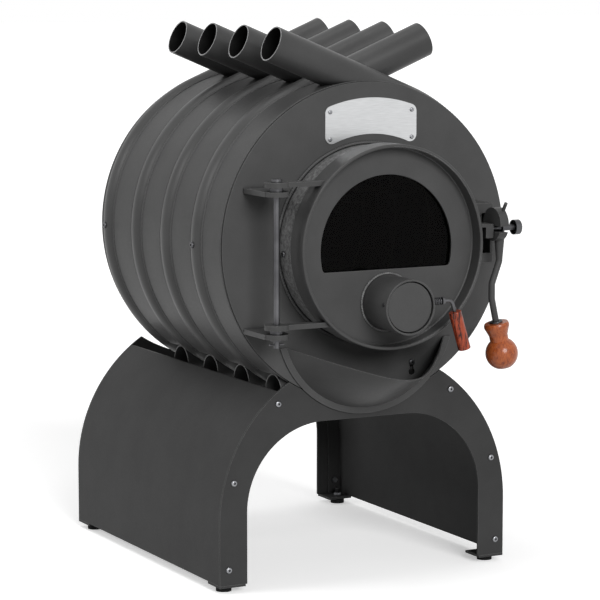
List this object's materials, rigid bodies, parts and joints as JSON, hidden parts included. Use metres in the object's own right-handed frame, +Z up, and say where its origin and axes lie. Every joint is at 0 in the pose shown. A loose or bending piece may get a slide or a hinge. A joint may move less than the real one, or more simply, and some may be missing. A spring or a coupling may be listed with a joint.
{
  "type": "wood stove",
  "caption": "Steel hot-air wood stove: horizontal drum of bent air tubes, round glazed door with air throttle, arched base with wood store.",
  "frame": {"origin": "on the floor, under the middle of the base's width and depth, where the feet stand", "axes": "+X to the right seen from the door side, +Y from the door to the flue, +Z up"},
  "size_m": [0.5532, 0.7562, 0.928],
  "materials": {
    "heat_paint": "matte",
    "bare_steel": "satin",
    "silver_plate": "brushed",
    "zinc_fastener": "satin",
    "stove_glass": "gloss",
    "seal_rope": "woven",
    "turned_wood": "varnished",
    "foot_rubber": "matte"
  },
  "bodies": {
    "stove": {"ash_lip": "heat_paint", "baffle_ledges": "heat_paint", "baffle_plate": "heat_paint", "base_front_plate": "heat_paint", "base_left_panel": "heat_paint", "base_nuts": "zinc_fastener", "base_rear_plate": "heat_paint", "base_right_panel": "heat_paint", "base_screws": "zinc_fastener", "cotter_pin": "bare_steel", "cross_rails": "heat_paint", "door_neck": "heat_paint", "drum_screws": "zinc_fastener", "flue_spigot": "heat_paint", "foot_brackets": "heat_paint", "foot_nuts": "zinc_fastener", "front_disc": "heat_paint", "hinge_lugs": "heat_paint", "hinge_pin": "bare_steel", "hinge_washers": "bare_steel", "latch_keeper": "heat_paint", "left_strip_1": "heat_paint", "left_strip_2": "heat_paint", "left_strip_3": "heat_paint", "left_strip_4": "heat_paint", "left_tube_1": "heat_paint", "left_tube_2": "heat_paint", "left_tube_3": "heat_paint", "left_tube_4": "heat_paint", "levelling_feet": "foot_rubber", "name_plate": "silver_plate", "plate_rivets": "zinc_fastener", "rear_disc": "heat_paint", "right_strip_1": "heat_paint", "right_strip_2": "heat_paint", "right_strip_3": "heat_paint", "right_strip_4": "heat_paint", "right_tube_1": "heat_paint", "right_tube_2": "heat_paint", "right_tube_3": "heat_paint", "right_tube_4": "heat_paint"},
    "door": {"door_pan": "heat_paint", "door_seal": "seal_rope", "glass_gasket": "seal_rope", "window_glass": "stove_glass", "glass_clips": "heat_paint", "clip_screws": "zinc_fastener", "door_arms": "heat_paint", "air_intake": "heat_paint", "latch_bracket": "heat_paint", "pivot_bolt": "bare_steel"},
    "throttle": {"throttle_disc": "heat_paint", "air_lever": "bare_steel", "air_grip": "turned_wood", "spring_stop": "bare_steel", "lever_spring": "bare_steel"},
    "handle": {"handle_lever": "heat_paint", "handle_knob": "turned_wood", "handle_ferrule": "bare_steel"}
  },
  "joints": [
    {"name": "door_hinge", "type": "hinge", "parent": "stove", "child": "door", "pos_m": [-0.206, -0.374, 0.57], "axis": [0, 0, -1], "range_deg": [0, 120]},
    {"name": "throttle_shaft", "type": "hinge", "parent": "door", "child": "throttle", "pos_m": [0, -0.439, 0.484], "axis": [-1, 0, 0], "range_deg": [0, 90]},
    {"name": "handle_pivot", "type": "hinge", "parent": "door", "child": "handle", "pos_m": [0.198, -0.386, 0.592], "axis": [-1, 0, 0], "range_deg": [0, 44]}
  ]
}
